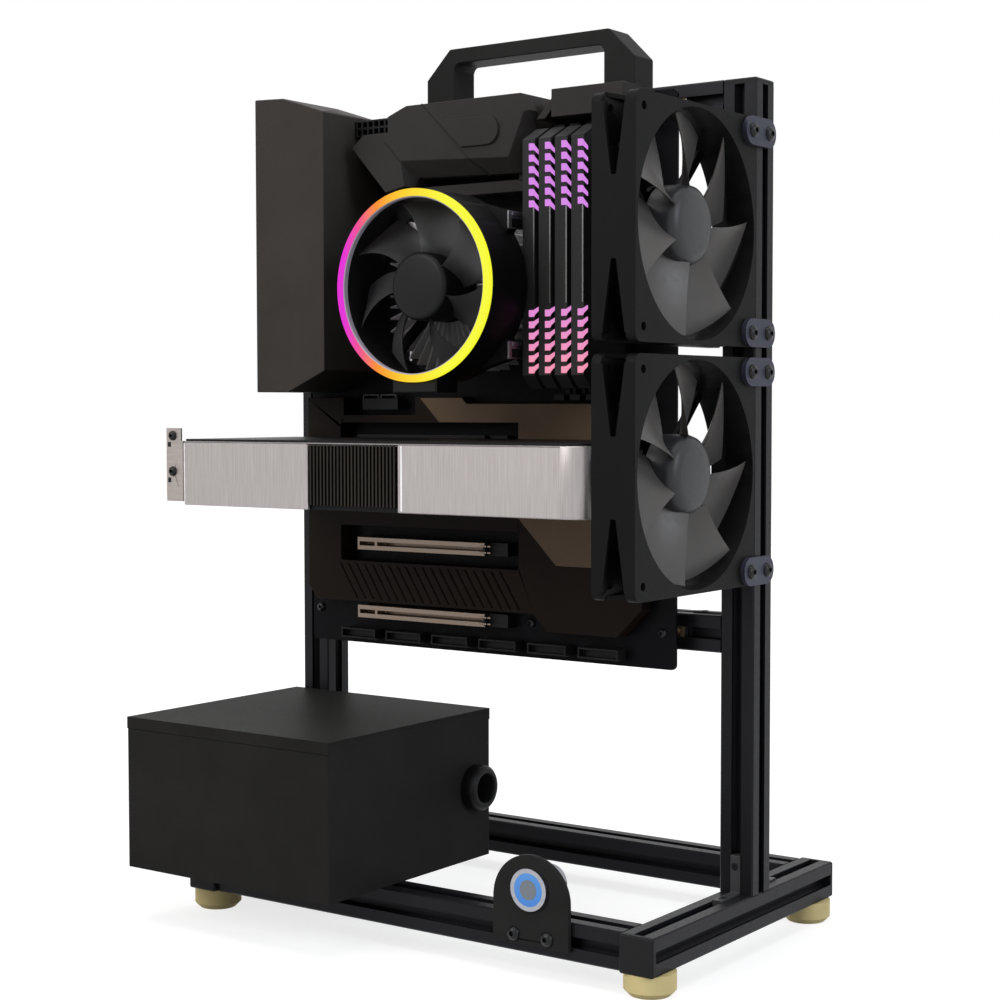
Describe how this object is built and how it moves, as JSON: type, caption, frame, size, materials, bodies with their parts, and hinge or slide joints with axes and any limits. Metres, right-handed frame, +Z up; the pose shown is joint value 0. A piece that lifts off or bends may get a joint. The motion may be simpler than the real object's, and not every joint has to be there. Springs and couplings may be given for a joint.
{
  "type": "open air test bench",
  "caption": "Upright open computer test bench of slotted profile with a board, cooler, memory, graphics card, side fans and a boxed power supply, with a carrying handle on top.",
  "frame": {"origin": "centre of the bounding box's footprint, on the floor under the feet", "axes": "+Z up, -Y towards the side that the board faces, +X to the right seen from there"},
  "size_m": [0.3324, 0.2422, 0.5012],
  "materials": {
    "profile_black": "satin black anodised aluminium",
    "frame_black": "satin black",
    "cap_plastic": "matt black",
    "foot_rubber": "tan rubber",
    "screw_black": "black oxide",
    "nut_steel": "zinc",
    "button_steel": "bright",
    "button_blue": "lit blue ring",
    "button_cap": "satin",
    "fan_plastic": "matt black",
    "rotor_plastic": "satin dark grey",
    "psu_paint": "fine black powder coat",
    "black_plastic": "matt black",
    "board_black": "black solder mask",
    "brass": "plain",
    "screw_small": "black",
    "cover_plastic": "matt warm black",
    "port_steel": "plain",
    "sink_dark": "matt dark anodised",
    "armour_dark": "matt dark brown",
    "bronze": "satin bronze",
    "slot_metal": "taupe metal",
    "spreader": "black brushed",
    "light_violet": "lit violet and pink",
    "light_ring": "lit yellow to pink ring",
    "sink_aluminium": "plain",
    "clip_steel": "plain",
    "card_silver": "brushed",
    "card_black": "black",
    "bracket_steel": "plain"
  },
  "bodies": {
    "bench": {"base_rail_front": "profile_black", "base_rail_left": "profile_black", "base_rail_rear": "profile_black", "base_rail_right": "profile_black", "board_armour": "armour_dark", "board_connectors": "black_plastic", "button_housing": "button_steel", "button_light_ring": "button_blue", "button_nut": "button_steel", "button_plate": "frame_black", "card_backplate": "card_black", "card_board": "board_black", "card_bracket": "bracket_steel", "card_fin_stack": "card_black", "card_frame": "card_silver", "card_shroud": "fan_plastic", "chipset_cover": "bronze", "cooler_clip": "clip_steel", "cooler_heatsink": "sink_aluminium", "cooler_light_ring": "light_ring", "cooler_shroud": "fan_plastic", "corner_brackets": "frame_black", "cpu_socket": "black_plastic", "crossbar_mid": "profile_black", "crossbar_top": "profile_black", "end_caps": "cap_plastic", "expansion_slots": "slot_metal", "fan_clamp_plates": "frame_black", "frame_screws": "screw_black", "handle": "frame_black", "io_cover": "cover_plastic", "io_ports": "port_steel", "memory_light_bars": "light_violet", "memory_module_1": "spreader", "memory_module_2": "spreader", "memory_module_3": "spreader", "memory_module_4": "spreader", "memory_slots": "black_plastic", "motherboard": "board_black", "post_left": "profile_black", "post_right": "profile_black", "psu_case": "psu_paint", "psu_cover": "psu_paint", "psu_grommet": "black_plastic", "psu_inlet": "black_plastic", "rubber_feet": "foot_rubber", "side_fan_frame_lower": "fan_plastic", "side_fan_frame_upper": "fan_plastic", "sliding_nuts": "nut_steel", "small_screws": "screw_small", "standoffs": "brass", "vrm_heatsink": "sink_dark"},
    "upper_fan": {"side_fan_rotor_upper": "rotor_plastic"},
    "lower_fan": {"side_fan_rotor_lower": "rotor_plastic"},
    "cooler_fan": {"cooler_rotor": "rotor_plastic"},
    "card_fan_left": {"card_rotor_left": "rotor_plastic"},
    "card_fan_right": {"card_rotor_right": "rotor_plastic"},
    "psu_fan": {"psu_fan_rotor": "rotor_plastic"},
    "start_button": {"power_button": "button_cap"},
    "psu_switch": {"psu_rocker": "black_plastic"}
  },
  "joints": [
    {"name": "upper_fan_spin", "type": "hinge", "parent": "bench", "child": "upper_fan", "pos_m": [0.15999, -0.0365, 0.3844], "axis": [1, 0, 0], "continuous": true},
    {"name": "lower_fan_spin", "type": "hinge", "parent": "bench", "child": "lower_fan", "pos_m": [0.15999, -0.0365, 0.259], "axis": [1, 0, 0], "continuous": true},
    {"name": "cooler_fan_spin", "type": "hinge", "parent": "bench", "child": "cooler_fan", "pos_m": [0.0056, -0.0654, 0.358], "axis": [0, 1, 0], "continuous": true},
    {"name": "card_fan_left_spin", "type": "hinge", "parent": "bench", "child": "card_fan_left", "pos_m": [-0.0892, -0.0519, 0.2388], "axis": [0, 0, 1], "continuous": true},
    {"name": "card_fan_right_spin", "type": "hinge", "parent": "bench", "child": "card_fan_right", "pos_m": [0.0748, -0.0519, 0.2388], "axis": [0, 0, 1], "continuous": true},
    {"name": "psu_fan_spin", "type": "hinge", "parent": "bench", "child": "psu_fan", "pos_m": [-0.0862, -0.049, 0.0555], "axis": [0, 0, 1], "continuous": true},
    {"name": "start_button_press", "type": "slide", "parent": "bench", "child": "start_button", "axis": [0, 1, 0], "range_m": [0, 0.0015], "stiffness_N_per_m": 400},
    {"name": "psu_switch_tilt", "type": "hinge", "parent": "bench", "child": "psu_switch", "pos_m": [-0.1592, -0.0831, 0.086], "axis": [0, 1, 0], "range_deg": [0, 14]}
  ]
}
